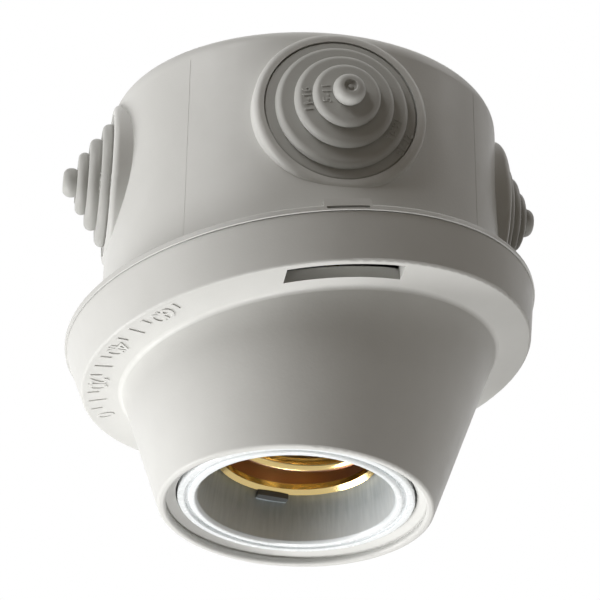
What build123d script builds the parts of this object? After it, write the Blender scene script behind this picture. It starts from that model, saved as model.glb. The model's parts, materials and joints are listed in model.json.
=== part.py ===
from build123d import *
import math
import os

os.makedirs("parts", exist_ok=True)

# Adjustable ceiling lamp holder, in millimetres.
# The frame: origin in the middle of the ceiling face, +Z up into the ceiling, front entry towards -Y.
# Azimuths are degrees from the front (-Y) towards +X.

# Back box
box_radius = 35.0
box_wall = 2.2
back_thickness = 2.4
back_edge_round = 3.4
rim_depth = 40.6  # ceiling face to the top of the rim flange, on the box's axis
rim_slant = 9.8
slant_azimuth = 45.0  # where the slanted rim comes nearest the ceiling
flange_overhang = 6.2  # out from the box's wall
flange_thickness = 1.0
flange_edge_round = 0.35
spigot_overhang = 0.7  # out from the box's wall
spigot_wall = 2.2
spigot_length = 4.6
bead_height = 1.1
bead_length = 1.0
tab_azimuths = [0.0, 180.0]
tab_half_angle = 5.4
tab_height = 1.0
tab_round = 0.35
slit_half_angle = 4.8
slit_height = 0.4
slit_depth = 3.0
fixing_spacing = 50.0
fixing_hole_radius = 2.3
fixing_collar_radius = 5.0
fixing_collar_height = 1.5

# Entry grommets in the box's flat round bosses
entry_azimuths = {"front": 0.0, "right": 90.0, "back": 180.0, "left": 270.0}
entry_depth = 15.8  # ceiling face to the entries' axes
boss_radius = 14.4
boss_rise = 0.2  # how far the bosses' flat faces stand out of the box's wall at its nearest
boss_edge_round = 1.1
entry_hole_radius = 11.0
entry_plate = 2.5
entry_recess_radius = 12.6
seat_depth = 1.5  # the round seat in each boss that a grommet's widest disc is sunk in
seat_gap = 0.3
grommet_steps = [(12.4, -0.4), (10.4, 1.35), (8.0, 3.4), (5.5, 5.4)]  # rim radius, rim height
grommet_dish = 0.75
grommet_rim_round = 0.55
grommet_wall = 0.9
knob_radius = 2.5
knob_height = 8.0
knob_edge_round = 0.9
dimple_radius = 1.1
dimple_depth = 0.7
nub_radius = 0.4
grommet_bead = 1.0
grommet_bead_length = 1.2
seat_clearance = 0.05

# Cover and hood, one moulding that turns about the slanted rim's axis
turning_gap = 0.3
parting_gap = 0.15  # between the flange's flat underside and the skirt's flat top
cover_depth = 8.9  # top of the rim flange to the cover ring's face
skirt_inset = 0.3  # in from the flange's edge to the skirt's top
skirt_taper = 1.9  # in from the skirt's top to the cover ring's edge
cover_wall = 1.6
ring_plate = 2.0
ring_edge_round = 0.5
hood_lean = 9.8  # the same as rim_slant, so that the hood hangs straight at one end of its turn
head_turn = 60.0  # turn away from that straight position, as the lamp holder is shown
hood_offset = (1.1, -1.0)  # ring's middle to the hood's axis, along the lean and across it
hood_length = 25.4  # ring face to mouth, along the hood's axis
mouth_radius = 22.8
hood_half_angle = 20.2
hood_wall = 1.5
lip_round = 0.6
hood_root_round = 0.8
window_azimuths = [-1.0, 179.0]
window_length = 18.8  # between its straight, parallel ends
window_width = 4.0
catch_half_angle = 11.0
catch_length = 1.2
catch_overlap = 0.7

# Rim gasket under the flange
gasket_thickness = 1.5
gasket_lip = 0.5

# Lamp holder body, on the hood's axis, with depths from the mouth
holder_face_depth = 1.5
holder_flange_radius = 19.7
holder_flange_length = 3.2
holder_radius = 18.0
face_band = 1.2
face_groove = 0.6
face_groove_depth = 0.6
bead_inner_radius = 16.4
bore_end_radius = 15.3
shell_seat_depth = 11.3
floor_depth = 33.4
floor_thickness = 4.0
barrier_height = 6.0
barrier_thickness = 1.8
barrier_inset = 4.0
lug_width = 5.5
lug_height = 0.9
lug_reach = 1.3
lug_azimuth = 188.0
ear_radius = 4.2
ear_thickness = 4.6
ear_depth = 20.4
ear_spacing = 45.0
post_radius = 3.3
post_length = 7.0
post_web = 2.0

# Screw shell and contacts
shell_radius = 13.35  # root of the round lamp thread
thread_crest_radius = 12.3
thread_pitch = 3.629
thread_ridge = 2.9
thread_turns = 4.25
thread_start = 14.6  # depth of the first ridge's middle
shell_metal = 0.45
shell_floor_radius = 8.6
rim_roll = 0.75
rim_radius = 14.8
contact_thickness = 0.6
contact_width = 6.0
contact_rise = 4.2
contact_reach = 6.4
rivet_radius = 1.4
rivet_head_radius = 2.4
rivet_head_height = 0.8
shell_rivet_inset = 2.35  # from the shell's wall to the rivet's middle
shell_rivet_distance = shell_radius - shell_rivet_inset
shell_rivet_azimuth = 44.0

# Terminals on the holder's floor
terminal_size = (9.0, 6.4, 6.6)
terminal_place = 9.6
terminal_foot = 0.8
terminal_foot_width = 5.2
wire_hole_radius = 1.6
screw_core_radius = 1.35
clamp_head_radius = 2.6
clamp_head_height = 1.8
clamp_screw_length = 5.0
slot_width = 0.7
slot_depth = 0.8

# Holder fixing screws, down into the hood's posts
fixing_screw_radius = 1.6
fixing_screw_length = 10.0
fixing_head_radius = 3.2
fixing_head_height = 2.1
washer_radius = 3.9
washer_thickness = 0.8


def azimuth_vector(azimuth):
    angle = math.radians(azimuth)
    return Vector(math.sin(angle), -math.cos(angle), 0)


def leaning_down(lean, azimuth):
    angle = math.radians(lean)
    return azimuth_vector(azimuth) * math.sin(angle) - Vector(0, 0, math.cos(angle))


def turned(points):
    # A solid of revolution about Z. Each point is (radius, height) or (radius, height, rounding).
    face = make_face(Polyline(*[point[:2] for point in points], close=True))
    for point in points:
        if len(point) == 3:
            corner = face.vertices().sort_by_distance((point[0], point[1], 0))[0]
            face = fillet(corner, point[2])
    return revolve(Plane.XZ * face, Axis.Z)


def disc(radius, low, high):
    return Pos(0, 0, (low + high) / 2) * Cylinder(radius, high - low)


def ring_sector(inner, outer, low, high, azimuth, half_angle):
    section = Plane.XZ * Pos((inner + outer) / 2, (low + high) / 2) * Rectangle(outer - inner, high - low)
    arc = revolve(section, Axis.Z, revolution_arc=2 * half_angle)
    return Rot(0, 0, azimuth - 90 - half_angle) * arc


flange_radius = box_radius + flange_overhang
spigot_radius = box_radius + spigot_overhang
skirt_top_radius = flange_radius - skirt_inset
ring_radius = skirt_top_radius - skirt_taper

# Frames: the slanted rim, the hood's axis from its mouth, and each entry
lean_azimuth = slant_azimuth + 180 + head_turn
rim_frame = Plane(
    origin=(0, 0, -rim_depth), x_dir=(1, 0, 0), z_dir=leaning_down(rim_slant, slant_azimuth) * -1
).location
hood_down = leaning_down(hood_lean, lean_azimuth)
hood_root = azimuth_vector(lean_azimuth) * hood_offset[0] + azimuth_vector(lean_azimuth + 90) * hood_offset[1]
mouth_centre = hood_root - Vector(0, 0, cover_depth) + hood_down * hood_length
hood_frame = rim_frame * Plane(origin=mouth_centre, x_dir=(1, 0, 0), z_dir=hood_down * -1).location


def entry_frame(azimuth):
    outward = azimuth_vector(azimuth)
    place = outward * (box_radius + boss_rise) - Vector(0, 0, entry_depth)
    return Plane(origin=place, x_dir=(0, 0, 1), z_dir=outward).location


# Heights in the rim's frame, and the skirt's slope
reach = 2 * box_radius
plate_top = ring_plate - cover_depth
skirt_top = -flange_thickness - parting_gap
spigot_end = -flange_thickness - spigot_length
bead_top = spigot_end + bead_length
catch_low = bead_top + turning_gap
skirt_slope = (skirt_top_radius - ring_radius) / (cover_depth + skirt_top)
hood_slope = math.tan(math.radians(hood_half_angle))
hood_radial_wall = hood_wall / math.cos(math.radians(hood_half_angle))


def skirt_inner(height):
    return ring_radius + (height + cover_depth) * skirt_slope - cover_wall


def hood_outer(depth):
    return mouth_radius + depth * hood_slope


def back_box():
    length = rim_depth + reach * math.tan(math.radians(rim_slant))
    body = disc(box_radius, -length, 0)
    body = fillet(body.edges().group_by(Axis.Z)[-1], back_edge_round)
    body &= rim_frame * disc(reach, -flange_thickness, 2 * length)
    for azimuth in entry_azimuths.values():
        boss = disc(boss_radius, -box_radius / 2, 0)
        boss = fillet(boss.edges().group_by(Axis.Z)[-1], boss_edge_round)
        body += entry_frame(azimuth) * boss
    rim = turned([
        (0, 0),
        (flange_radius, 0, flange_edge_round),
        (flange_radius, -flange_thickness),
        (spigot_radius, -flange_thickness),
        (spigot_radius, bead_top),
        (spigot_radius + bead_height, bead_top),
        (spigot_radius, spigot_end),
        (0, spigot_end),
    ])
    for azimuth in tab_azimuths:
        tab = ring_sector(
            box_radius - box_wall, flange_radius, -flange_thickness, tab_height, azimuth, tab_half_angle
        )
        tab = fillet(tab.edges().group_by(Axis.Z)[-1].sort_by(SortBy.LENGTH)[-1], tab_round)
        slit_top = -(flange_thickness - slit_height) / 2
        slit = ring_sector(
            flange_radius - slit_depth, flange_radius + 1, slit_top - slit_height, slit_top, azimuth, slit_half_angle
        )
        rim = rim + tab - slit
    body += rim_frame * rim
    cavity_radius = box_radius - box_wall
    cavity = disc(cavity_radius, -length, -back_thickness)
    cavity = fillet(cavity.edges().group_by(Axis.Z)[-1], back_edge_round - box_wall)
    cavity &= rim_frame * disc(reach, -flange_thickness, 2 * length)
    body -= cavity
    body -= rim_frame * disc(spigot_radius - spigot_wall, spigot_end - 1, -flange_thickness)
    for azimuth in entry_azimuths.values():
        hole = disc(entry_hole_radius, -box_radius / 3, 1)
        hole += disc(entry_recess_radius, -box_radius / 3, -entry_plate)
        hole += disc(grommet_steps[0][0] + seat_gap, -seat_depth, 1)
        body -= entry_frame(azimuth) * hole
    for side in (-1, 1):
        place = Pos(side * fixing_spacing / 2, 0, 0)
        body += place * disc(fixing_collar_radius, -back_thickness - fixing_collar_height, -back_thickness / 2)
        body -= place * disc(fixing_hole_radius, -2 * back_thickness - fixing_collar_height, 1)
    return body


def entry_grommet():
    # Outside: a stack of discs with dished faces, closed by a knob with a dimple and a nub.
    outside = [(grommet_steps[0][0], -seat_depth)]
    next_radii = [radius for radius, _ in grommet_steps[1:]] + [knob_radius]
    for (radius, height), next_radius in zip(grommet_steps, next_radii):
        outside.append((radius, height, grommet_rim_round))
        outside.append((next_radius, height - grommet_dish))
    outside += [
        (knob_radius, knob_height, knob_edge_round),
        (dimple_radius, knob_height),
        (nub_radius * 1.5, knob_height - dimple_depth),
        (nub_radius, knob_height - dimple_depth / 3),
        (0, knob_height - dimple_depth / 3),
    ]
    # Inside: the same stair one wall thickness in, open to the box.
    neck = entry_hole_radius - seat_clearance
    inner_end = -entry_plate - seat_clearance - grommet_bead_length
    level = knob_height - dimple_depth - grommet_wall
    inside = [(0, level), (knob_radius - grommet_wall, level)]
    for (radius, height), above_radius in zip(grommet_steps[:0:-1], next_radii[:0:-1]):
        inside.append((above_radius - grommet_wall, height - grommet_dish - grommet_wall))
        inside.append((radius - grommet_wall, height - grommet_dish - grommet_wall))
    foot = [
        (grommet_steps[1][0] - grommet_wall, inner_end),
        (neck, inner_end),
        (neck + grommet_bead, -entry_plate - seat_clearance),
        (neck, -entry_plate - seat_clearance),
        (neck, -seat_depth),
    ]
    return turned(outside + inside + foot)


def window():
    # An arched slot through the ring at its front, against the inside of the skirt.
    outer = skirt_inner(plate_top)
    low = -cover_depth - 1
    band = disc(outer, low, plate_top + 1) - disc(outer - window_width, low, plate_top + 1)
    return band & Pos(0, -outer / 2, low / 2) * Box(window_length, outer, -2 * low)


def cover_hood():
    cover = turned([
        (0, -cover_depth),
        (ring_radius, -cover_depth, ring_edge_round),
        (skirt_top_radius, skirt_top),
        (skirt_inner(skirt_top), skirt_top),
        (skirt_inner(plate_top), plate_top),
        (0, plate_top),
    ])
    to_rim = rim_frame.inverse() * hood_frame
    top = hood_length + reach / 2
    cone = Solid.make_cone(mouth_radius, hood_outer(top), top)
    below = disc(reach, -reach * 2, plate_top)
    cover += (to_rim * cone) & below
    root = [
        edge for edge in cover.edges()
        if edge.geom_type == GeomType.ELLIPSE and abs(edge.center().Z + cover_depth) < 0.01
    ]
    cover = fillet(root, hood_root_round)
    hollow_mouth = mouth_radius - hood_radial_wall - hood_slope
    hollow = Solid.make_cone(hollow_mouth, hood_outer(top) - hood_radial_wall, top + 1)
    cover -= to_rim * Pos(0, 0, -1) * hollow
    lip = cover.edges().filter_by(GeomType.CIRCLE).sort_by_distance(mouth_centre)
    cover = fillet([edge for edge in lip if (edge.arc_center - mouth_centre).length < 0.1], lip_round)
    catch_inner = spigot_radius + bead_height - catch_overlap
    for azimuth in window_azimuths:
        cover -= Rot(0, 0, azimuth) * window()
        cover += ring_sector(
            catch_inner, skirt_inner(catch_low) + 0.3, catch_low, catch_low + catch_length, azimuth, catch_half_angle
        )
    for side in (-1, 1):
        place = Pos(side * ear_spacing / 2, 0, 0)
        post = place * disc(post_radius, ear_depth - post_length, ear_depth)
        web_length = hood_outer(ear_depth) - ear_spacing / 2
        web_middle = side * (ear_spacing / 2 + web_length / 2)
        web = Pos(web_middle, 0, ear_depth - post_length / 2) * Box(web_length, post_web, post_length)
        inner_cone = Solid.make_cone(mouth_radius - 0.1, hood_outer(top) - 0.1, top)
        post += web & inner_cone
        post -= place * disc(screw_core_radius, ear_depth - post_length + 1, ear_depth + 1)
        cover += to_rim * post
    return rim_frame * cover


def rim_gasket():
    outer = skirt_inner(skirt_top - gasket_thickness) - turning_gap
    return rim_frame * turned([
        (spigot_radius, -flange_thickness),
        (outer - gasket_lip, -flange_thickness),
        (outer, -flange_thickness - gasket_thickness),
        (spigot_radius, -flange_thickness - gasket_thickness),
    ])


def holder_body():
    flange_back = holder_face_depth + holder_flange_length
    band_inner = holder_flange_radius - face_band
    groove_inner = band_inner - face_groove
    pocket = shell_radius + shell_metal + seat_clearance
    floor_top = floor_depth + floor_thickness
    body = turned([
        (0, floor_depth),
        (pocket, floor_depth),
        (pocket, shell_seat_depth),
        (bore_end_radius, shell_seat_depth),
        (bead_inner_radius, holder_face_depth + face_groove_depth, 0.5),
        (bead_inner_radius + 0.4, holder_face_depth, 0.4),
        (groove_inner, holder_face_depth, 0.5),
        (groove_inner, holder_face_depth + face_groove_depth),
        (band_inner, holder_face_depth + face_groove_depth),
        (band_inner, holder_face_depth, 0.2),
        (holder_flange_radius, holder_face_depth, 0.4),
        (holder_flange_radius, flange_back),
        (holder_radius, flange_back),
        (holder_radius, floor_top, 0.8),
        (0, floor_top),
    ])
    for side in (-1, 1):
        place = Pos(side * ear_spacing / 2, 0, 0)
        ear = place * disc(ear_radius, ear_depth, ear_depth + ear_thickness)
        neck_length = ear_spacing / 2 - holder_radius + 1.5
        neck_middle = side * (ear_spacing / 2 - neck_length / 2)
        ear += Pos(neck_middle, 0, ear_depth + ear_thickness / 2) * Box(neck_length, 2 * ear_radius, ear_thickness)
        ear -= place * disc(fixing_screw_radius + 0.3, ear_depth - 1, ear_depth + ear_thickness + 1)
        body += ear
    lug_low = rim_lip_depth() - lug_height
    lug_place = Pos(bore_end_radius - lug_reach / 2, 0, lug_low + lug_height / 2)
    lug = lug_place * Box(lug_reach + 0.8, lug_width, lug_height)
    body += Rot(0, 0, lug_azimuth - 90) * lug
    # The barrier stands halfway between the two terminals' feet.
    barrier_place = shell_rivet_centre().Y / 2
    barrier_width = 2 * (holder_radius - barrier_inset)
    body += Pos(0, barrier_place, floor_top + barrier_height / 2 - 0.5) * Box(
        barrier_width, barrier_thickness, barrier_height
    )
    for place in (Vector(0, 0), shell_rivet_centre()):
        body -= Pos(place) * disc(rivet_radius + seat_clearance, floor_depth - 1, floor_top + 1)
    return hood_frame * body


def shell_rivet_centre():
    return azimuth_vector(shell_rivet_azimuth) * shell_rivet_distance


def rim_lip_depth():
    return shell_seat_depth - 2 * rim_roll


def screw_shell():
    outer = shell_radius + shell_metal
    shell = turned([
        (shell_radius, rim_lip_depth() + rim_roll),
        (rim_radius - rim_roll, rim_lip_depth()),
        (rim_radius, rim_lip_depth() + rim_roll, 0.3),
        (rim_radius - 0.2, shell_seat_depth),
        (outer, shell_seat_depth),
        (outer, floor_depth),
        (shell_floor_radius, floor_depth),
        (shell_floor_radius, floor_depth - shell_metal),
        (shell_radius, floor_depth - shell_metal),
    ])
    shell -= Pos(shell_rivet_centre()) * disc(rivet_radius + seat_clearance, floor_depth - 1, floor_depth + 1)
    return hood_frame * (shell + Pos(0, 0, thread_start) * lamp_thread())


def lamp_thread():
    # A round ridge, swept along a right-handed helix on the shell's wall and sunk in it by half the metal.
    path = Helix(pitch=thread_pitch, height=thread_pitch * thread_turns, radius=shell_radius)
    half_width = thread_ridge / 2
    sunk = shell_metal / 2
    ridge = ThreePointArc((sunk, half_width), (thread_crest_radius - shell_radius, 0), (sunk, -half_width))
    section = make_face(Line((sunk, -half_width), (sunk, half_width)) + ridge)
    return sweep(Plane(origin=path @ 0, x_dir=(1, 0, 0), z_dir=path % 0) * section, path=path, is_frenet=True)


def rivet(low_face, high_face):
    # A shank with a domed head below low_face and another above high_face.
    shank = disc(rivet_radius, low_face, high_face)
    low_head = turned([
        (0, low_face), (rivet_head_radius, low_face), (rivet_head_radius * 0.6, low_face - rivet_head_height),
        (0, low_face - rivet_head_height),
    ])
    high_head = turned([
        (0, high_face), (rivet_head_radius, high_face), (rivet_head_radius * 0.6, high_face + rivet_head_height),
        (0, high_face + rivet_head_height),
    ])
    return shank + low_head + high_head


def shell_rivet():
    floor_top = floor_depth + floor_thickness
    return hood_frame * Pos(shell_rivet_centre()) * rivet(floor_depth - shell_metal, floor_top + terminal_foot)


def centre_rivet():
    floor_top = floor_depth + floor_thickness
    return hood_frame * rivet(floor_depth - contact_thickness, floor_top + terminal_foot)


def centre_contact():
    # A strip riveted under the floor, folded back so that its free end springs against the lamp cap.
    flat = floor_depth - contact_thickness / 2
    tip = floor_depth - contact_rise
    line = FilletPolyline(
        (-contact_reach + 1.5, flat), (contact_reach, flat), (contact_reach - 1.2, tip + 0.6), (-2.5, tip), radius=0.5
    )
    section = make_face(offset(line, contact_thickness / 2, side=Side.BOTH))
    strip = extrude(Plane.XZ * section, contact_width / 2, both=True)
    strip -= disc(rivet_radius + seat_clearance, floor_depth - contact_thickness - 0.1, floor_depth + 1)
    strip -= disc(rivet_head_radius + 0.4, tip - 1, tip + 1.0)
    return hood_frame * strip


def terminal(side, rivet_centre):
    # A block with a wire hole and a clamp screw hole, on a round-ended foot that runs to its rivet.
    width, depth, height = terminal_size
    floor_top = floor_depth + floor_thickness
    block_centre = Vector(0, side * terminal_place)
    middle = block_centre + Vector(0, 0, floor_top + terminal_foot + height / 2)
    block = Pos(middle) * Box(width, depth, height)
    block = chamfer(block.edges().filter_by(Axis.Z), 0.6)
    run = rivet_centre - block_centre
    foot = extrude(SlotCenterToCenter(run.length, terminal_foot_width), terminal_foot)
    foot_middle = (rivet_centre + block_centre) / 2 + Vector(0, 0, floor_top)
    body = block + Pos(foot_middle) * Rot(0, 0, math.degrees(math.atan2(run.Y, run.X))) * foot
    wire_height = floor_top + terminal_foot + height / 3
    top = floor_top + terminal_foot + height
    body -= Pos(0, side * terminal_place, wire_height) * Rot(0, 90, 0) * Cylinder(wire_hole_radius, width + 2)
    body -= Pos(block_centre) * disc(screw_core_radius + seat_clearance, wire_height, top + 1)
    body -= Pos(rivet_centre) * disc(rivet_radius + seat_clearance, floor_top - 1, floor_top + terminal_foot + 1)
    return hood_frame * body


def clamp_screw(side):
    top = floor_depth + floor_thickness + terminal_foot + terminal_size[2]
    screw = disc(screw_core_radius, top - clamp_screw_length, top)
    screw += disc(clamp_head_radius, top, top + clamp_head_height)
    slot = Pos(0, 0, top + clamp_head_height - slot_depth / 2) * Box(3 * clamp_head_radius, slot_width, slot_depth)
    return hood_frame * Pos(0, side * terminal_place, 0) * (screw - slot)


def holder_screw(side):
    seat = ear_depth + ear_thickness + washer_thickness
    shank = disc(fixing_screw_radius, ear_depth + 0.2, seat)
    shank += disc(screw_core_radius - seat_clearance, seat - fixing_screw_length, ear_depth + 0.2)
    head = disc(fixing_head_radius, seat, seat + fixing_head_height)
    head = fillet(head.edges().group_by(Axis.Z)[-1], fixing_head_height * 0.5)
    slot = Pos(0, 0, seat + fixing_head_height - slot_depth / 2) * Box(3 * fixing_head_radius, slot_width, slot_depth)
    return hood_frame * Pos(side * ear_spacing / 2, 0, 0) * (shank + head - slot)


def holder_washer(side):
    low = ear_depth + ear_thickness
    washer = disc(washer_radius, low, low + washer_thickness)
    washer -= disc(fixing_screw_radius + seat_clearance, low - 1, low + 2)
    return hood_frame * Pos(side * ear_spacing / 2, 0, 0) * washer


nodes = {
    "back_box": back_box(),
    "cover_hood": cover_hood(),
    "rim_gasket": rim_gasket(),
    "holder_body": holder_body(),
    "screw_shell": screw_shell(),
    "shell_rivet": shell_rivet(),
    "centre_contact": centre_contact(),
    "centre_rivet": centre_rivet(),
    "live_terminal": terminal(1, Vector(0, 0)),
    "neutral_terminal": terminal(-1, shell_rivet_centre()),
    "live_clamp_screw": clamp_screw(1),
    "neutral_clamp_screw": clamp_screw(-1),
}
for name, azimuth in entry_azimuths.items():
    nodes["entry_grommet_" + name] = entry_frame(azimuth) * entry_grommet()
for name, side in {"left": -1, "right": 1}.items():
    nodes["holder_screw_" + name] = holder_screw(side)
    nodes["holder_washer_" + name] = holder_washer(side)

for name, solid in nodes.items():
    export_step(solid, "parts/" + name + ".step")
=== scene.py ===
import json
from math import cos, radians, sin, tan

import bmesh
import bpy
from mathutils import Matrix, Vector


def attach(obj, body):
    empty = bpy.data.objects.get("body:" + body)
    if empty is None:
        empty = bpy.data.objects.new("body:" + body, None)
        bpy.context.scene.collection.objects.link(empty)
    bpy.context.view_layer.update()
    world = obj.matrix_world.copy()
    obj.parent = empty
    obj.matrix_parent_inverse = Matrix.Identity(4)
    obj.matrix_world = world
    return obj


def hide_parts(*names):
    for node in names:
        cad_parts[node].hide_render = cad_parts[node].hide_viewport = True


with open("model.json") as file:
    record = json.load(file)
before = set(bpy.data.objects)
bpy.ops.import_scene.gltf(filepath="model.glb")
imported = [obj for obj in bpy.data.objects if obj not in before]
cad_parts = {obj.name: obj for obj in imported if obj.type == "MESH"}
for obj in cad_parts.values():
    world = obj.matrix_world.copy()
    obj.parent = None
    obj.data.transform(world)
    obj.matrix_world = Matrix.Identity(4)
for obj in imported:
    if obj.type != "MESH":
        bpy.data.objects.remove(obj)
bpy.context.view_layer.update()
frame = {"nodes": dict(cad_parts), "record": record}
nodes = frame["nodes"]
print("frame loaded:", len(nodes), "nodes")

# The photo's camera, a little left of the front entry and looking up from under the hood
camera = {
    "place": (-0.04826, -0.27225, -0.15216),
    "yaw": 10.0,  # degrees to the right of +Y
    "lookUp": 23.0,
    "roll": 0.63,
    "lens": 102.0,
    "sensor": 36.0,
    "nearest": 0.01,
}

# Sizes that the pieces added here share with the solids, in metres and degrees
fitting = {
    "rimDepth": 0.0406,
    "rimSlant": 9.8,
    "slantAzimuth": 45.0,
    "hoodLean": 9.8,
    "leanAzimuth": 285.0,
    "coverDepth": 0.0089,
    "hoodOffset": (0.0011, -0.0010),
    "hoodLength": 0.0254,
    "boxRadius": 0.035,
    "bossRise": 0.0002,
    "entryDepth": 0.0158,
}


def azimuthVector(azimuth):
    angle = radians(azimuth)
    return Vector((sin(angle), -cos(angle), 0))


def leaningDown(lean, azimuth):
    return azimuthVector(azimuth) * sin(radians(lean)) + Vector((0, 0, -cos(radians(lean))))


def frameOf(origin, zAxis, xHint):
    # A frame with its Z along zAxis and its X as near xHint as that allows
    z = zAxis.normalized()
    x = (xHint - z * xHint.dot(z)).normalized()
    y = z.cross(x)
    return Matrix.Translation(origin) @ Matrix((x, y, z)).transposed().to_4x4()


rimUp = -leaningDown(fitting["rimSlant"], fitting["slantAzimuth"])
rimFrame = frameOf(Vector((0, 0, -fitting["rimDepth"])), rimUp, Vector((1, 0, 0)))
hoodDown = leaningDown(fitting["hoodLean"], fitting["leanAzimuth"])
hoodRoot = (
    azimuthVector(fitting["leanAzimuth"]) * fitting["hoodOffset"][0]
    + azimuthVector(fitting["leanAzimuth"] + 90) * fitting["hoodOffset"][1]
)
mouthCentre = hoodRoot - Vector((0, 0, fitting["coverDepth"])) + hoodDown * fitting["hoodLength"]
hoodFrame = rimFrame @ frameOf(mouthCentre, -hoodDown, Vector((1, 0, 0)))


def entryFrame(azimuth):
    outward = azimuthVector(azimuth)
    place = outward * (fitting["boxRadius"] + fitting["bossRise"]) - Vector((0, 0, fitting["entryDepth"]))
    return frameOf(place, outward, Vector((0, 0, 1)))


def makeCamera():
    data = bpy.data.cameras.new("photoCamera")
    data.lens = camera["lens"]
    data.sensor_width = camera["sensor"]
    data.clip_start = camera["nearest"]
    eye = bpy.data.objects.new("photoCamera", data)
    turn = Matrix.Rotation(radians(-camera["yaw"]), 4, "Z")
    turn = turn @ Matrix.Rotation(radians(90 + camera["lookUp"]), 4, "X")
    turn = turn @ Matrix.Rotation(radians(camera["roll"]), 4, "Z")
    eye.matrix_world = Matrix.Translation(camera["place"]) @ turn
    bpy.context.scene.collection.objects.link(eye)
    bpy.context.scene.camera = eye
    print("camera at", camera["place"])


# Materials

def newMaterial(name):
    material = bpy.data.materials.new(name)
    material.use_nodes = True
    tree = material.node_tree
    shader = tree.nodes["Principled BSDF"]
    return material, tree, shader


def addNode(tree, kind, **settings):
    node = tree.nodes.new(kind)
    for key, value in settings.items():
        setattr(node, key, value)
    return node


def placeIn(tree, frameMatrix, stretch=(1, 1, 1)):
    # Object coordinates seen from a frame, drawn out by stretch along its axes
    coordinates = addNode(tree, "ShaderNodeTexCoord")
    mapping = addNode(tree, "ShaderNodeMapping", vector_type="TEXTURE")
    mapping.inputs["Location"].default_value = frameMatrix.translation
    mapping.inputs["Rotation"].default_value = frameMatrix.to_euler()
    mapping.inputs["Scale"].default_value = stretch
    tree.links.new(coordinates.outputs["Object"], mapping.inputs["Vector"])
    return mapping.outputs["Vector"]


noiseRoughness = 0.55


def noiseAt(tree, scale, detail=3.0, place=None):
    # Noise in the object's own coordinates or in a given place, with features of about 1/scale metres
    noise = addNode(tree, "ShaderNodeTexNoise")
    noise.inputs["Scale"].default_value = scale
    noise.inputs["Detail"].default_value = detail
    noise.inputs["Roughness"].default_value = noiseRoughness
    if place is None:
        place = addNode(tree, "ShaderNodeTexCoord").outputs["Object"]
    tree.links.new(place, noise.inputs["Vector"])
    return noise.outputs["Fac"]


def calculate(tree, operation, first, second):
    node = addNode(tree, "ShaderNodeMath", operation=operation)
    for value, socket in zip((first, second), node.inputs):
        if isinstance(value, (int, float)):
            socket.default_value = value
        else:
            tree.links.new(value, socket)
    return node.outputs[0]


def blendColours(tree, amount, first, second):
    # A Mix node's colour sockets come after those for numbers and vectors
    node = addNode(tree, "ShaderNodeMix", data_type="RGBA")
    tree.links.new(amount, node.inputs["Factor"])
    for value, socket in zip((first, second), (node.inputs[6], node.inputs[7])):
        if isinstance(value, tuple):
            socket.default_value = (*value, 1)
        else:
            tree.links.new(value, socket)
    return node.outputs[2]


def ramp(tree, value, stops):
    # stops: list of (position, colour or grey level)
    node = addNode(tree, "ShaderNodeValToRGB")
    elements = node.color_ramp.elements
    while len(elements) < len(stops):
        elements.new(0.5)
    for element, (place, colour) in zip(elements, stops):
        element.position = place
        element.color = (*colour, 1) if isinstance(colour, tuple) else (colour, colour, colour, 1)
    tree.links.new(value, node.inputs["Fac"])
    return node.outputs["Color"]


def bumpFrom(tree, shader, heights, distance, strength):
    bump = addNode(tree, "ShaderNodeBump")
    bump.inputs["Distance"].default_value = distance
    bump.inputs["Strength"].default_value = strength
    tree.links.new(heights, bump.inputs["Height"])
    tree.links.new(bump.outputs["Normal"], shader.inputs["Normal"])


def radiusAndDepth(tree, frameMatrix):
    # Distance from a frame's Z axis, and height along it
    split = addNode(tree, "ShaderNodeSeparateXYZ")
    tree.links.new(placeIn(tree, frameMatrix), split.inputs[0])
    squares = [calculate(tree, "MULTIPLY", split.outputs[axis], split.outputs[axis]) for axis in ("X", "Y")]
    return calculate(tree, "SQRT", calculate(tree, "ADD", *squares), 0.0), split.outputs["Z"]


def between(tree, noise, low, high, spread=0.2):
    # Goes from low to high over the middle of a noise's range
    return ramp(tree, noise, [(0.5 - spread, low), (0.5 + spread, high)])


def shareBetween(tree, value, start, end):
    # 0 up to start, rising to 1 at end
    fraction = calculate(tree, "DIVIDE", calculate(tree, "SUBTRACT", value, start), end - start)
    return ramp(tree, fraction, [(0.0, 0.0), (1.0, 1.0)])


plastics = {
    "greyPlastic": {
        "light": (0.64, 0.64, 0.62), "dark": (0.60, 0.60, 0.58),
        "roughness": (0.34, 0.44), "grainScale": 2200,
    },
    "grommetPlastic": {
        "light": (0.50, 0.50, 0.48), "dark": (0.45, 0.45, 0.43),
        "roughness": (0.40, 0.52), "grainScale": 3000,
    },
    "driftScale": 60,
    "driftSpread": 0.18,
    "glossScale": 400,
    "grainHeight": 0.00004,
    "grainStrength": 0.35,
    "specular": 0.25,
}


def mouldedPlastic(name):
    # Satin moulded plastic: slow colour drift, fine spark-eroded grain, slightly uneven gloss
    material, tree, shader = newMaterial(name)
    own = plastics[name]
    drift = noiseAt(tree, plastics["driftScale"], detail=4)
    colour = between(tree, drift, own["dark"], own["light"], plastics["driftSpread"])
    tree.links.new(colour, shader.inputs["Base Color"])
    gloss = noiseAt(tree, plastics["glossScale"], detail=2)
    tree.links.new(between(tree, gloss, *own["roughness"]), shader.inputs["Roughness"])
    grain = noiseAt(tree, own["grainScale"], detail=2)
    bumpFrom(tree, shader, grain, plastics["grainHeight"], plastics["grainStrength"])
    shader.inputs["Specular IOR Level"].default_value = plastics["specular"]
    return material


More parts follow.
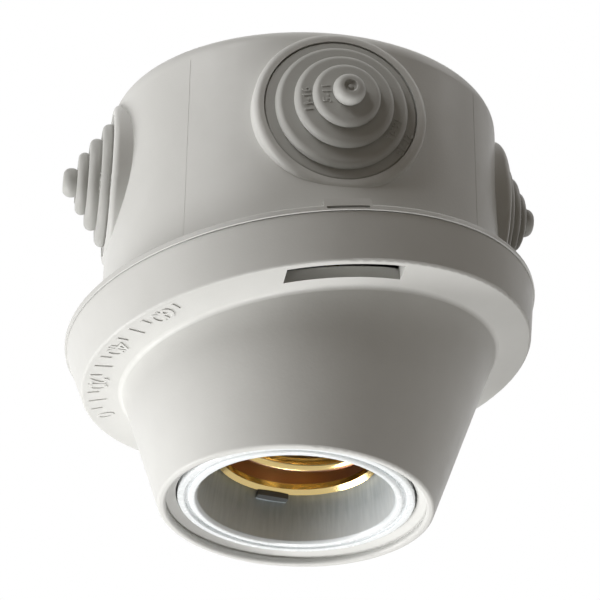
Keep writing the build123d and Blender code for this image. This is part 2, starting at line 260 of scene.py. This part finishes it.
porcelain = {
    "ringLight": (0.80, 0.82, 0.83),
    "ringDark": (0.74, 0.77, 0.78),
    "ringScale": 90,
    "ringGlossScale": 500,
    "ringRoughness": (0.20, 0.32),
    "boreShadeLight": (0.46, 0.50, 0.52),
    "boreShadeDark": (0.37, 0.41, 0.43),
    "boreSpread": 0.16,
    "boreRoughness": (0.42, 0.58),
    "lugShadeColour": (0.085, 0.09, 0.09),
    "lugEdge": 0.0152,  # inside this radius the lug that laps over the shell's rim is painted near-black as shade
    "boreEdge": 0.0158,  # radii between which the bore, painted darker grey as shade, gives way to the glazed ring
    "ringEdge": 0.0168,
    "streakScale": 1500,
    "streakLength": 40.0,
    "streakHeight": 0.00003,
    "streakStrength": 0.3,
}


def glazedCeramic():
    # White glazed ring; inside it the bore, painted darker grey as shade, with fine streaks along its axis
    material, tree, shader = newMaterial("whiteGlaze")
    radius, _ = radiusAndDepth(tree, hoodFrame)
    onRing = shareBetween(tree, radius, porcelain["boreEdge"], porcelain["ringEdge"])
    drawn = placeIn(tree, hoodFrame, stretch=(1, 1, porcelain["streakLength"]))
    streaks = noiseAt(tree, porcelain["streakScale"], detail=6, place=drawn)
    # The bore's two greys are painted shade on the white ceramic, with the streaks between them
    wall = between(tree, streaks, porcelain["boreShadeDark"], porcelain["boreShadeLight"], porcelain["boreSpread"])
    # Inside the lug's edge the white ceramic is painted near-black as shade
    onLug = calculate(tree, "LESS_THAN", radius, porcelain["lugEdge"])
    bore = blendColours(tree, onLug, wall, porcelain["lugShadeColour"])
    ringDrift = noiseAt(tree, porcelain["ringScale"])
    ring = between(tree, ringDrift, porcelain["ringDark"], porcelain["ringLight"])
    tree.links.new(blendColours(tree, onRing, bore, ring), shader.inputs["Base Color"])
    boreGloss = between(tree, streaks, *porcelain["boreRoughness"])
    ringGloss = between(tree, noiseAt(tree, porcelain["ringGlossScale"]), *porcelain["ringRoughness"])
    tree.links.new(blendColours(tree, onRing, boreGloss, ringGloss), shader.inputs["Roughness"])
    heights = calculate(tree, "MULTIPLY", streaks, calculate(tree, "SUBTRACT", 1.0, onRing))
    bumpFrom(tree, shader, heights, porcelain["streakHeight"], porcelain["streakStrength"])
    return material


brasses = {
    "contactBrass": {"light": (0.84, 0.64, 0.30), "dark": (0.74, 0.54, 0.24), "roughness": (0.24, 0.34)},
    "rivetBrass": {"light": (0.80, 0.62, 0.32), "dark": (0.70, 0.52, 0.26), "roughness": (0.28, 0.40)},
    "terminalBrass": {"light": (0.82, 0.64, 0.33), "dark": (0.74, 0.56, 0.28), "roughness": (0.26, 0.38)},
    "driftScale": 180,
    "glossScale": 900,
    "grainScale": 1500,
    "grainHeight": 0.00002,
    "grainStrength": 0.25,
}


def brassGrain(tree, shader):
    grain = noiseAt(tree, brasses["grainScale"], detail=2)
    bumpFrom(tree, shader, grain, brasses["grainHeight"], brasses["grainStrength"])


def brassSheet(name):
    material, tree, shader = newMaterial(name)
    shader.inputs["Metallic"].default_value = 1.0
    own = brasses[name]
    drift = noiseAt(tree, brasses["driftScale"], detail=5)
    tree.links.new(between(tree, drift, own["dark"], own["light"]), shader.inputs["Base Color"])
    gloss = noiseAt(tree, brasses["glossScale"], detail=3)
    tree.links.new(between(tree, gloss, *own["roughness"]), shader.inputs["Roughness"])
    brassGrain(tree, shader)
    return material


shellTarnishAndShade = {
    "crestRadius": 0.0129,  # the thread's crests and the rolled rim stay bright gold as painted highlight
    "rootRadius": 0.0132,
    "rimEnd": 0.0116,  # depth above the mouth at which the rim gives way to the thread
    "deepFrom": 0.0125,  # depths above the mouth between which the brown turns olive, painted shade deeper in the shell
    "deepTo": 0.0185,
    "edgeScale": 350,  # of the noise that makes the edge of the bright crests uneven
    "edgeDrift": 0.6,
    "dullRoughness": 0.36,
    "brightRoughness": 0.17,
    "gold": (0.80, 0.61, 0.27),
    "brown": (0.42, 0.22, 0.15),
    "olive": (0.22, 0.18, 0.12),
}


def tarnishAndShadeBrass():
    # Gold crests and rim as painted highlight; between them brown, partly tarnish and partly painted shade,
    # which turns olive as painted shade deeper in the shell
    material, tree, shader = newMaterial("shellBrass")
    shader.inputs["Metallic"].default_value = 1.0
    radius, depth = radiusAndDepth(tree, hoodFrame)
    span = shellTarnishAndShade["crestRadius"] - shellTarnishAndShade["rootRadius"]
    pastRoot = calculate(tree, "SUBTRACT", radius, shellTarnishAndShade["rootRadius"])
    uneven = calculate(tree, "SUBTRACT", noiseAt(tree, shellTarnishAndShade["edgeScale"], detail=4), 0.5)
    drift = calculate(tree, "MULTIPLY", uneven, shellTarnishAndShade["edgeDrift"])
    across = calculate(tree, "ADD", calculate(tree, "DIVIDE", pastRoot, span), drift)
    # The crests and rim stay bright gold as painted highlight
    onCrest = ramp(tree, across, [(0.0, 0.0), (1.0, 1.0)])
    onRim = calculate(tree, "LESS_THAN", depth, shellTarnishAndShade["rimEnd"])
    bright = calculate(tree, "MAXIMUM", onCrest, onRim)
    # Brown between the crests is partly tarnish and partly painted shade; it turns olive as painted shade
    # deeper in
    deep = shareBetween(tree, depth, shellTarnishAndShade["deepFrom"], shellTarnishAndShade["deepTo"])
    dull = blendColours(tree, deep, shellTarnishAndShade["brown"], shellTarnishAndShade["olive"])
    tree.links.new(blendColours(tree, bright, dull, shellTarnishAndShade["gold"]), shader.inputs["Base Color"])
    gloss = [(0.0, shellTarnishAndShade["dullRoughness"]), (1.0, shellTarnishAndShade["brightRoughness"])]
    tree.links.new(ramp(tree, bright, gloss), shader.inputs["Roughness"])
    brassGrain(tree, shader)
    return material


steel = {
    "dark": (0.55, 0.56, 0.55),
    "light": (0.70, 0.71, 0.70),
    "driftScale": 500,
    "roughness": (0.28, 0.42),
    "glossScale": 1200,
    "grainScale": 2500,
    "grainHeight": 0.00002,
    "grainStrength": 0.25,
}


def zincSteel():
    material, tree, shader = newMaterial("zincSteel")
    shader.inputs["Metallic"].default_value = 1.0
    drift = noiseAt(tree, steel["driftScale"], detail=4)
    tree.links.new(between(tree, drift, steel["dark"], steel["light"]), shader.inputs["Base Color"])
    gloss = noiseAt(tree, steel["glossScale"])
    tree.links.new(between(tree, gloss, *steel["roughness"]), shader.inputs["Roughness"])
    grain = noiseAt(tree, steel["grainScale"])
    bumpFrom(tree, shader, grain, steel["grainHeight"], steel["grainStrength"])
    return material


rubber = {
    "greys": (0.018, 0.032),
    "driftScale": 300,
    "roughness": (0.6, 0.75),
    "glossScale": 800,
    "grainScale": 2000,
    "grainHeight": 0.00004,
    "grainStrength": 0.4,
}


def blackRubber():
    material, tree, shader = newMaterial("blackRubber")
    drift = noiseAt(tree, rubber["driftScale"])
    tree.links.new(between(tree, drift, *rubber["greys"]), shader.inputs["Base Color"])
    gloss = noiseAt(tree, rubber["glossScale"])
    tree.links.new(between(tree, gloss, *rubber["roughness"]), shader.inputs["Roughness"])
    grain = noiseAt(tree, rubber["grainScale"])
    bumpFrom(tree, shader, grain, rubber["grainHeight"], rubber["grainStrength"])
    return material


def dressNodes():
    finishes = {
        "grey_plastic": mouldedPlastic("greyPlastic"),
        "grommet_plastic": mouldedPlastic("grommetPlastic"),
        "white_ceramic": glazedCeramic(),
        "shell_brass": tarnishAndShadeBrass(),
        "contact_metal": brassSheet("contactBrass"),
        "rivet_metal": brassSheet("rivetBrass"),
        "terminal_brass": brassSheet("terminalBrass"),
        "screw_steel": zincSteel(),
        "gasket_rubber": blackRubber(),
    }
    for part in frame["record"]["subparts"]:
        mesh = nodes[part["node"]].data
        mesh.materials.clear()
        mesh.materials.append(finishes[part["material_slot"]])
    return finishes


# Pieces

entries = {"front": 0, "right": 90, "back": 180, "left": 270}  # azimuths of the cable entries


def linkPiece(name, mesh, material, body):
    mesh.materials.clear()
    mesh.materials.append(material)
    piece = bpy.data.objects.new(name, mesh)
    bpy.context.scene.collection.objects.link(piece)
    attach(piece, body)
    return piece


def evaluatedMesh(source):
    # What a text, curve or modifier comes to, as a plain mesh
    bpy.context.scene.collection.objects.link(source)
    bpy.context.view_layer.update()
    graph = bpy.context.evaluated_depsgraph_get()
    mesh = bpy.data.meshes.new_from_object(source.evaluated_get(graph), depsgraph=graph)
    bpy.data.objects.remove(source)
    return mesh


figureShape = {
    # shares of the rise
    "halfDepth": 0.5,
    "bevel": 0.2,
    "lift": 0.3,
    "bevelSteps": 1,
    "curveSteps": 3,
}


def figuresMesh(words, size, rise):
    # Figures that stand rise above Z = 0 and reach a little below it
    text = bpy.data.curves.new("figures", "FONT")
    text.body = words
    text.size = size
    text.align_x = "CENTER"
    text.align_y = "CENTER"
    text.extrude = rise * figureShape["halfDepth"]
    text.bevel_depth = rise * figureShape["bevel"]
    text.bevel_resolution = figureShape["bevelSteps"]
    text.resolution_u = figureShape["curveSteps"]
    mesh = evaluatedMesh(bpy.data.objects.new("figures", text))
    mesh.transform(Matrix.Translation((0, 0, rise * figureShape["lift"])))
    return mesh


def meshFrom(name, whole):
    mesh = bpy.data.meshes.new(name)
    whole.to_mesh(mesh)
    whole.free()
    return mesh


def joinedMesh(name, parts):
    # parts: list of (mesh, matrix that places it)
    whole = bmesh.new()
    for mesh, place in parts:
        mesh.transform(place)
        whole.from_mesh(mesh)
        bpy.data.meshes.remove(mesh)
    return meshFrom(name, whole)


def nodeTree(name, inputs):
    # A geometry tree with named inputs, its group input and group output
    tree = bpy.data.node_groups.new(name, "GeometryNodeTree")
    tree.is_modifier = True
    tree.interface.new_socket("Geometry", in_out="OUTPUT", socket_type="NodeSocketGeometry")
    for label, kind in inputs:
        tree.interface.new_socket(label, in_out="INPUT", socket_type="NodeSocket" + kind)
    return tree, tree.nodes.new("NodeGroupInput"), tree.nodes.new("NodeGroupOutput")


def growMesh(name, tree, values):
    # Run a tree on an empty mesh, with each input set by its identifier
    base = bpy.data.objects.new(name, bpy.data.meshes.new(name))
    modifier = base.modifiers.new(name, "NODES")
    modifier.node_group = tree
    for item in tree.interface.items_tree:
        if item.in_out == "INPUT":
            modifier[item.identifier] = values[item.name]
    return evaluatedMesh(base)


turnScale = {
    "firstAzimuth": -105.0,
    "tickStep": 5.0,
    "tickCount": 13,
    "figures": {-110.0: "0", -90.0: "20", -70.0: "40", -50.0: "60"},
    "outerRadius": 0.0379,
    "tickLength": 0.0019,
    "longTick": 1.6,  # times the length, on every second tick
    "tickWidth": 0.00042,
    "figureSize": 0.0044,
    "figureRadius": 0.0363,
    "rise": 0.00018,
}


def tickTree():
    tree, given, result = nodeTree("turnScaleTicks", [
        ("Count", "Int"), ("First", "Float"), ("Step", "Float"), ("Radius", "Float"), ("Length", "Float"),
        ("Long", "Float"), ("Width", "Float"), ("Rise", "Float"), ("Finish", "Material"),
    ])
    link = tree.links.new

    # Points along the ring's edge, at azimuths First, First + Step and so on
    index = tree.nodes.new("GeometryNodeInputIndex").outputs[0]
    turned = calculate(tree, "MULTIPLY", index, given.outputs["Step"])
    angle = calculate(tree, "ADD", given.outputs["First"], turned)
    right = calculate(tree, "SINE", angle, 0.0)
    forward = calculate(tree, "MULTIPLY", calculate(tree, "COSINE", angle, 0.0), -1.0)
    place = tree.nodes.new("ShaderNodeCombineXYZ")
    for share, axis in ((right, "X"), (forward, "Y")):
        link(calculate(tree, "MULTIPLY", share, given.outputs["Radius"]), place.inputs[axis])
    points = tree.nodes.new("GeometryNodePoints")
    link(given.outputs["Count"], points.inputs["Count"])
    link(place.outputs[0], points.inputs["Position"])

    # One bar, which reaches inwards from its point
    bar = tree.nodes.new("GeometryNodeMeshCube")
    size = tree.nodes.new("ShaderNodeCombineXYZ")
    for label, axis in (("Width", "X"), ("Length", "Y"), ("Rise", "Z")):
        link(given.outputs[label], size.inputs[axis])
    link(size.outputs[0], bar.inputs["Size"])
    shift = tree.nodes.new("ShaderNodeCombineXYZ")
    link(calculate(tree, "MULTIPLY", given.outputs["Length"], 0.5), shift.inputs["Y"])
    inward = tree.nodes.new("GeometryNodeTransform")
    link(bar.outputs["Mesh"], inward.inputs["Geometry"])
    link(shift.outputs[0], inward.inputs["Translation"])

    # Each bar is turned to face the middle, and every second one is longer
    turn = tree.nodes.new("ShaderNodeCombineXYZ")
    link(angle, turn.inputs["Z"])
    stretch = tree.nodes.new("ShaderNodeCombineXYZ")
    stretch.inputs["X"].default_value = 1.0
    stretch.inputs["Z"].default_value = 1.0
    odd = calculate(tree, "MODULO", index, 2.0)
    extra = calculate(tree, "SUBTRACT", given.outputs["Long"], 1.0)
    link(calculate(tree, "ADD", calculate(tree, "MULTIPLY", odd, extra), 1.0), stretch.inputs["Y"])
    copies = tree.nodes.new("GeometryNodeInstanceOnPoints")
    link(points.outputs[0], copies.inputs["Points"])
    link(inward.outputs[0], copies.inputs["Instance"])
    link(turn.outputs[0], copies.inputs["Rotation"])
    link(stretch.outputs[0], copies.inputs["Scale"])
    real = tree.nodes.new("GeometryNodeRealizeInstances")
    link(copies.outputs[0], real.inputs[0])
    finish = tree.nodes.new("GeometryNodeSetMaterial")
    link(real.outputs[0], finish.inputs["Geometry"])
    link(given.outputs["Finish"], finish.inputs["Material"])
    link(finish.outputs[0], result.inputs[0])
    return tree


def makeTurnScale(material):
    # Raised ticks and plain figures on the cover ring's left, moulded with the head
    ringFace = rimFrame @ Matrix.Translation((0, 0, -fitting["coverDepth"]))
    ticks = growMesh("turnScaleTicks", tickTree(), {
        "Count": turnScale["tickCount"], "First": radians(turnScale["firstAzimuth"]),
        "Step": radians(turnScale["tickStep"]), "Radius": turnScale["outerRadius"],
        "Length": turnScale["tickLength"], "Long": turnScale["longTick"], "Width": turnScale["tickWidth"],
        "Rise": turnScale["rise"] * 2,  # half of each bar is sunk in the ring
        "Finish": material,
    })
    parts = [(ticks, ringFace)]
    for azimuth, words in turnScale["figures"].items():
        middle = azimuthVector(azimuth) * turnScale["figureRadius"]
        reading = azimuthVector(azimuth - 90)
        place = ringFace @ frameOf(middle, Vector((0, 0, -1)), reading)
        parts.append((figuresMesh(words, turnScale["figureSize"], turnScale["rise"]), place))
    linkPiece("turnScale", joinedMesh("turnScale", parts), material, "head")
    print("turn scale:", turnScale["tickCount"], "ticks and", len(turnScale["figures"]), "figures")


softGrommet = {
    # In millimetres, with heights above the boss. Each disc has its foot radius, rim radius, rim height,
    # face height and how far its rim is rounded. The widest disc comes first and the knob last.
    "discs": [
        (12.55, 12.62, -0.60, -0.14, 0.40),
        (10.65, 10.96, 0.30, 1.63, 1.05),
        (7.95, 8.20, 2.40, 3.68, 1.10),
        (5.30, 5.57, 4.35, 5.47, 1.05),
        (2.35, 2.62, 6.45, 7.90, 1.25),
    ],
    "undercut": 0.06,  # how far the wall draws in between a rim and its foot
    "dimple": [(1.10, 7.86), (0.86, 7.40), (0.46, 7.32), (0.30, 7.62), (0.0, 7.66)],  # with a nub in it
    "seat": -1.50,
    "wall": 0.90,
    "knobWall": 1.50,
    "neck": 10.95,  # radius of the spigot through the box's wall
    "bead": 1.00,  # how far the bead stands out behind that wall
    "ledge": -2.55,
    "innerEnd": -3.75,
    "roundSteps": 9,
    "around": 96,
}


def grommetProfile():
    # From the middle of the inside down to the foot, and up the outside to the knob's dimple
    discs = softGrommet["discs"]
    wall = softGrommet["wall"]
    below = [softGrommet["seat"]] + [face for _, _, _, face, _ in discs]
    outside = []
    for (foot, rim, rimHeight, face, rounding), foundation in zip(discs, below):
        outside.append((foot, foundation))
        outside.append((rim - softGrommet["undercut"], (foundation + rimHeight) / 2))
        for step in range(softGrommet["roundSteps"] + 1):
            angle = radians(90 * step / softGrommet["roundSteps"])
            outside.append((rim - rounding * (1 - cos(angle)), rimHeight + (face - rimHeight) * sin(angle)))
    outside += softGrommet["dimple"]
    level = discs[-1][3] - softGrommet["knobWall"]
    inside = [(0.0, level), (discs[-1][0] - wall, level)]
    for (foot, _, _, face, _), (nextFoot, *_) in zip(discs[-2:0:-1], discs[:0:-1]):
        inside += [(nextFoot - wall, face - wall), (foot - wall, face - wall)]
    inside += [
        (discs[1][0] - wall, softGrommet["innerEnd"]),
        (softGrommet["neck"], softGrommet["innerEnd"]),
        (softGrommet["neck"] + softGrommet["bead"], softGrommet["ledge"]),
        (softGrommet["neck"], softGrommet["ledge"]),
        (softGrommet["neck"], softGrommet["seat"]),
    ]
    return inside + outside


millimetre = 0.001
creaseAngle = 38.0  # sharper edges than this stay sharp


def lathe(name, profile, around):
    # A closed body turned about Z, in millimetres; a profile that starts off the axis makes a ring
    whole = bmesh.new()
    rows = []
    for radius, height in profile:
        count = around if radius > 0 else 1
        turns = [radians(360 * k / around) for k in range(count)]
        rows.append([
            whole.verts.new(Vector((radius * cos(turn), radius * sin(turn), height)) * millimetre)
            for turn in turns
        ])
    following = rows[1:] + ([rows[0]] if profile[0][0] > 0 else [])
    for lower, upper in zip(rows, following):
        for k in range(around):
            places = ((lower, k), (lower, k + 1), (upper, k + 1), (upper, k))
            corners = [row[j % len(row)] for row, j in places]
            whole.faces.new(list(dict.fromkeys(corners)))  # a triangle at a pole
    bmesh.ops.recalc_face_normals(whole, faces=whole.faces)
    for face in whole.faces:
        face.smooth = True
    mesh = meshFrom(name, whole)
    mesh.set_sharp_from_angle(angle=radians(creaseAngle))
    return mesh


def makeGrommets(material):
    # The soft stepped entries, with the rounded rims and dimpled knob of the moulding
    for side, azimuth in entries.items():
        mesh = lathe("softGrommet_" + side, grommetProfile(), softGrommet["around"])
        mesh.transform(entryFrame(azimuth))
        piece = linkPiece("softGrommet_" + side, mesh, material, "box")
        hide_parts("entry_grommet_" + side)
    print("soft grommets:", len(entries))


mouthStep = {
    # Radius and depth from the mouth, in millimetres, round the step's section
    "section": [(21.80, 1.20), (20.00, 2.25), (19.95, 2.45), (19.95, 2.90), (22.30, 2.90)],
    "around": 128,
}


def makeMouthStep(material):
    # The sloping step inside the hood's mouth, which leaves only a fine gap round the white ring
    mesh = lathe("mouthStep", mouthStep["section"], mouthStep["around"])
    mesh.transform(hoodFrame)
    linkPiece("mouthStep", mesh, material, "head")
    print("mouth step ready")


sizeFigures = {
    # Middle radius, height above the boss, figures, and degrees round from the top
    "steps": [
        (0.00345, 0.00547, "5-11", 96.0),
        (0.00625, 0.00368, "11-16", 98.0),
        (0.00900, 0.00163, "16-21", -114.0),
        (0.01168, -0.00014, "21-25", -117.0),
    ],
    "size": 0.0019,
    "rise": 0.00016,
}


def makeSizeFigures(material):
    # Small raised figures on the grommets' discs: the cable diameters that each step takes
    parts = []
    up = Vector((0, 0, 1))
    for azimuth in entries.values():
        entry = entryFrame(azimuth)
        for radius, height, words, around in sizeFigures["steps"]:
            outward = Vector((cos(radians(around)), sin(radians(around)), 0))
            place = entry @ frameOf(outward * radius + up * height, up, outward.cross(up))
            parts.append((figuresMesh(words, sizeFigures["size"], sizeFigures["rise"]), place))
    linkPiece("sizeFigures", joinedMesh("sizeFigures", parts), material, "box")
    print("size figures:", len(parts))


mouldLine = {
    "firstAzimuth": -43.0,
    "count": 4,
    "width": 0.00018,
    "rise": 0.00003,
    "top": -0.0036,  # just under the box's rounded upper edge
    "lengths": 12,
}


def makeMouldLines(material):
    # Fine parting lines that the mould's four side slides left down the box's wall
    half = mouldLine["width"] / 2
    whole = bmesh.new()
    for k in range(mouldLine["count"]):
        azimuth = mouldLine["firstAzimuth"] + k * 360 / mouldLine["count"]
        outward = azimuthVector(azimuth)
        along = azimuthVector(azimuth + 90)
        slope = tan(radians(fitting["rimSlant"])) * cos(radians(azimuth - fitting["slantAzimuth"]))
        low = fitting["boxRadius"] * slope - fitting["rimDepth"]
        rows = []
        for step in range(mouldLine["lengths"] + 1):
            z = mouldLine["top"] + (low - mouldLine["top"]) * step / mouldLine["lengths"]
            rows.append([
                whole.verts.new(outward * (fitting["boxRadius"] + out) + along * side + Vector((0, 0, z)))
                for side, out in ((-half, -half), (0, mouldLine["rise"]), (half, -half))
            ])
        for upper, lower in zip(rows, rows[1:]):
            for i in range(3):
                j = (i + 1) % 3
                whole.faces.new((upper[i], upper[j], lower[j], lower[i]))
        whole.faces.new(rows[0])
        whole.faces.new(reversed(rows[-1]))
    bmesh.ops.recalc_face_normals(whole, faces=whole.faces)
    linkPiece("mouldLines", meshFrom("mouldLines", whole), material, "box")
    print("mould lines:", mouldLine["count"])


# Stage and light

stage = {
    "floorDepth": -1.2,
    "floorSize": 8.0,
    "floorColour": (0.86, 0.86, 0.85),
    "floorRoughness": 0.8,
    "floorGlow": 0.85,  # how much of what the camera sees of the floor is plain white paper
    "backdropBrightness": 1.0,
    "roomBrightness": 0.070,
    "roomColour": (1.0, 0.76, 0.48),
}


def seenDirectly(tree):
    # 1 for what the camera, metal or glass sees, 0 for light that falls on the object
    rays = addNode(tree, "ShaderNodeLightPath").outputs
    mirrored = calculate(tree, "MAXIMUM", rays["Is Glossy Ray"], rays["Is Transmission Ray"])
    return calculate(tree, "MAXIMUM", rays["Is Camera Ray"], mirrored)


def paperMaterial():
    material, tree, shader = newMaterial("palePaper")
    shader.inputs["Base Color"].default_value = (*stage["floorColour"], 1)
    shader.inputs["Roughness"].default_value = stage["floorRoughness"]
    glow = addNode(tree, "ShaderNodeEmission")
    glow.inputs["Color"].default_value = (*stage["floorColour"], 1)
    mix = addNode(tree, "ShaderNodeMixShader")
    tree.links.new(calculate(tree, "MULTIPLY", seenDirectly(tree), stage["floorGlow"]), mix.inputs[0])
    tree.links.new(shader.outputs[0], mix.inputs[1])
    tree.links.new(glow.outputs[0], mix.inputs[2])
    tree.links.new(mix.outputs[0], tree.nodes["Material Output"].inputs["Surface"])
    return material


def makeWorld():
    world = bpy.data.worlds.new("studioWorld")
    bpy.context.scene.world = world
    world.use_nodes = True
    tree = world.node_tree
    tree.nodes.clear()
    room = addNode(tree, "ShaderNodeBackground")
    room.inputs["Color"].default_value = (*stage["roomColour"], 1)
    room.inputs["Strength"].default_value = stage["roomBrightness"]
    white = addNode(tree, "ShaderNodeBackground")
    white.inputs["Strength"].default_value = stage["backdropBrightness"]
    white.inputs["Color"].default_value = (1, 1, 1, 1)
    mix = addNode(tree, "ShaderNodeMixShader")
    output = addNode(tree, "ShaderNodeOutputWorld")
    tree.links.new(seenDirectly(tree), mix.inputs[0])
    tree.links.new(room.outputs[0], mix.inputs[1])
    tree.links.new(white.outputs[0], mix.inputs[2])
    tree.links.new(mix.outputs[0], output.inputs["Surface"])


def makeStage():
    mesh = bpy.data.meshes.new("studioFloor")
    half = stage["floorSize"] / 2
    corners = [(-half, -half), (half, -half), (half, half), (-half, half)]
    mesh.from_pydata([(x, y, stage["floorDepth"]) for x, y in corners], [], [(0, 1, 2, 3)])
    floor = bpy.data.objects.new("studioFloor", mesh)
    bpy.context.scene.collection.objects.link(floor)
    mesh.materials.append(paperMaterial())
    makeWorld()
    print("stage ready")


lampAim = Vector((0, 0, -0.045))
lampTwist = Vector((0.1, 0.2, 1))  # no lamp points along this
lamps = [
    {"name": "keyLeft", "azimuth": -101, "elevation": -38, "distance": 0.8, "size": 0.5, "watts": 6.7},
    {"name": "lowBounce", "azimuth": 0, "elevation": -88, "distance": 0.8, "size": 0.15, "watts": 3.1},
    {"name": "topFront", "azimuth": -58, "elevation": 42, "distance": 0.8, "size": 0.5, "watts": 3.4},
    {"name": "sideRight", "azimuth": 85, "elevation": 42, "distance": 0.8, "size": 0.3, "watts": 0.9},
]


def makeLamps():
    for lamp in lamps:
        light = bpy.data.lights.new(lamp["name"], "AREA")
        light.shape = "DISK"
        light.size = lamp["size"]
        light.energy = lamp["watts"]
        holder = bpy.data.objects.new(lamp["name"], light)
        rise = radians(lamp["elevation"])
        away = azimuthVector(lamp["azimuth"]) * cos(rise) + Vector((0, 0, sin(rise)))
        holder.matrix_world = frameOf(lampAim + away * lamp["distance"], away, lampTwist)
        holder.visible_camera = False
        bpy.context.scene.collection.objects.link(holder)
    print(len(lamps), "lamps")


bpy.context.scene.view_settings.view_transform = "Standard"
makeCamera()
finishes = dressNodes()
makeTurnScale(finishes["grey_plastic"])
makeGrommets(finishes["grommet_plastic"])
makeSizeFigures(finishes["grommet_plastic"])
makeMouldLines(finishes["grey_plastic"])
makeMouthStep(finishes["grey_plastic"])
makeStage()
makeLamps()
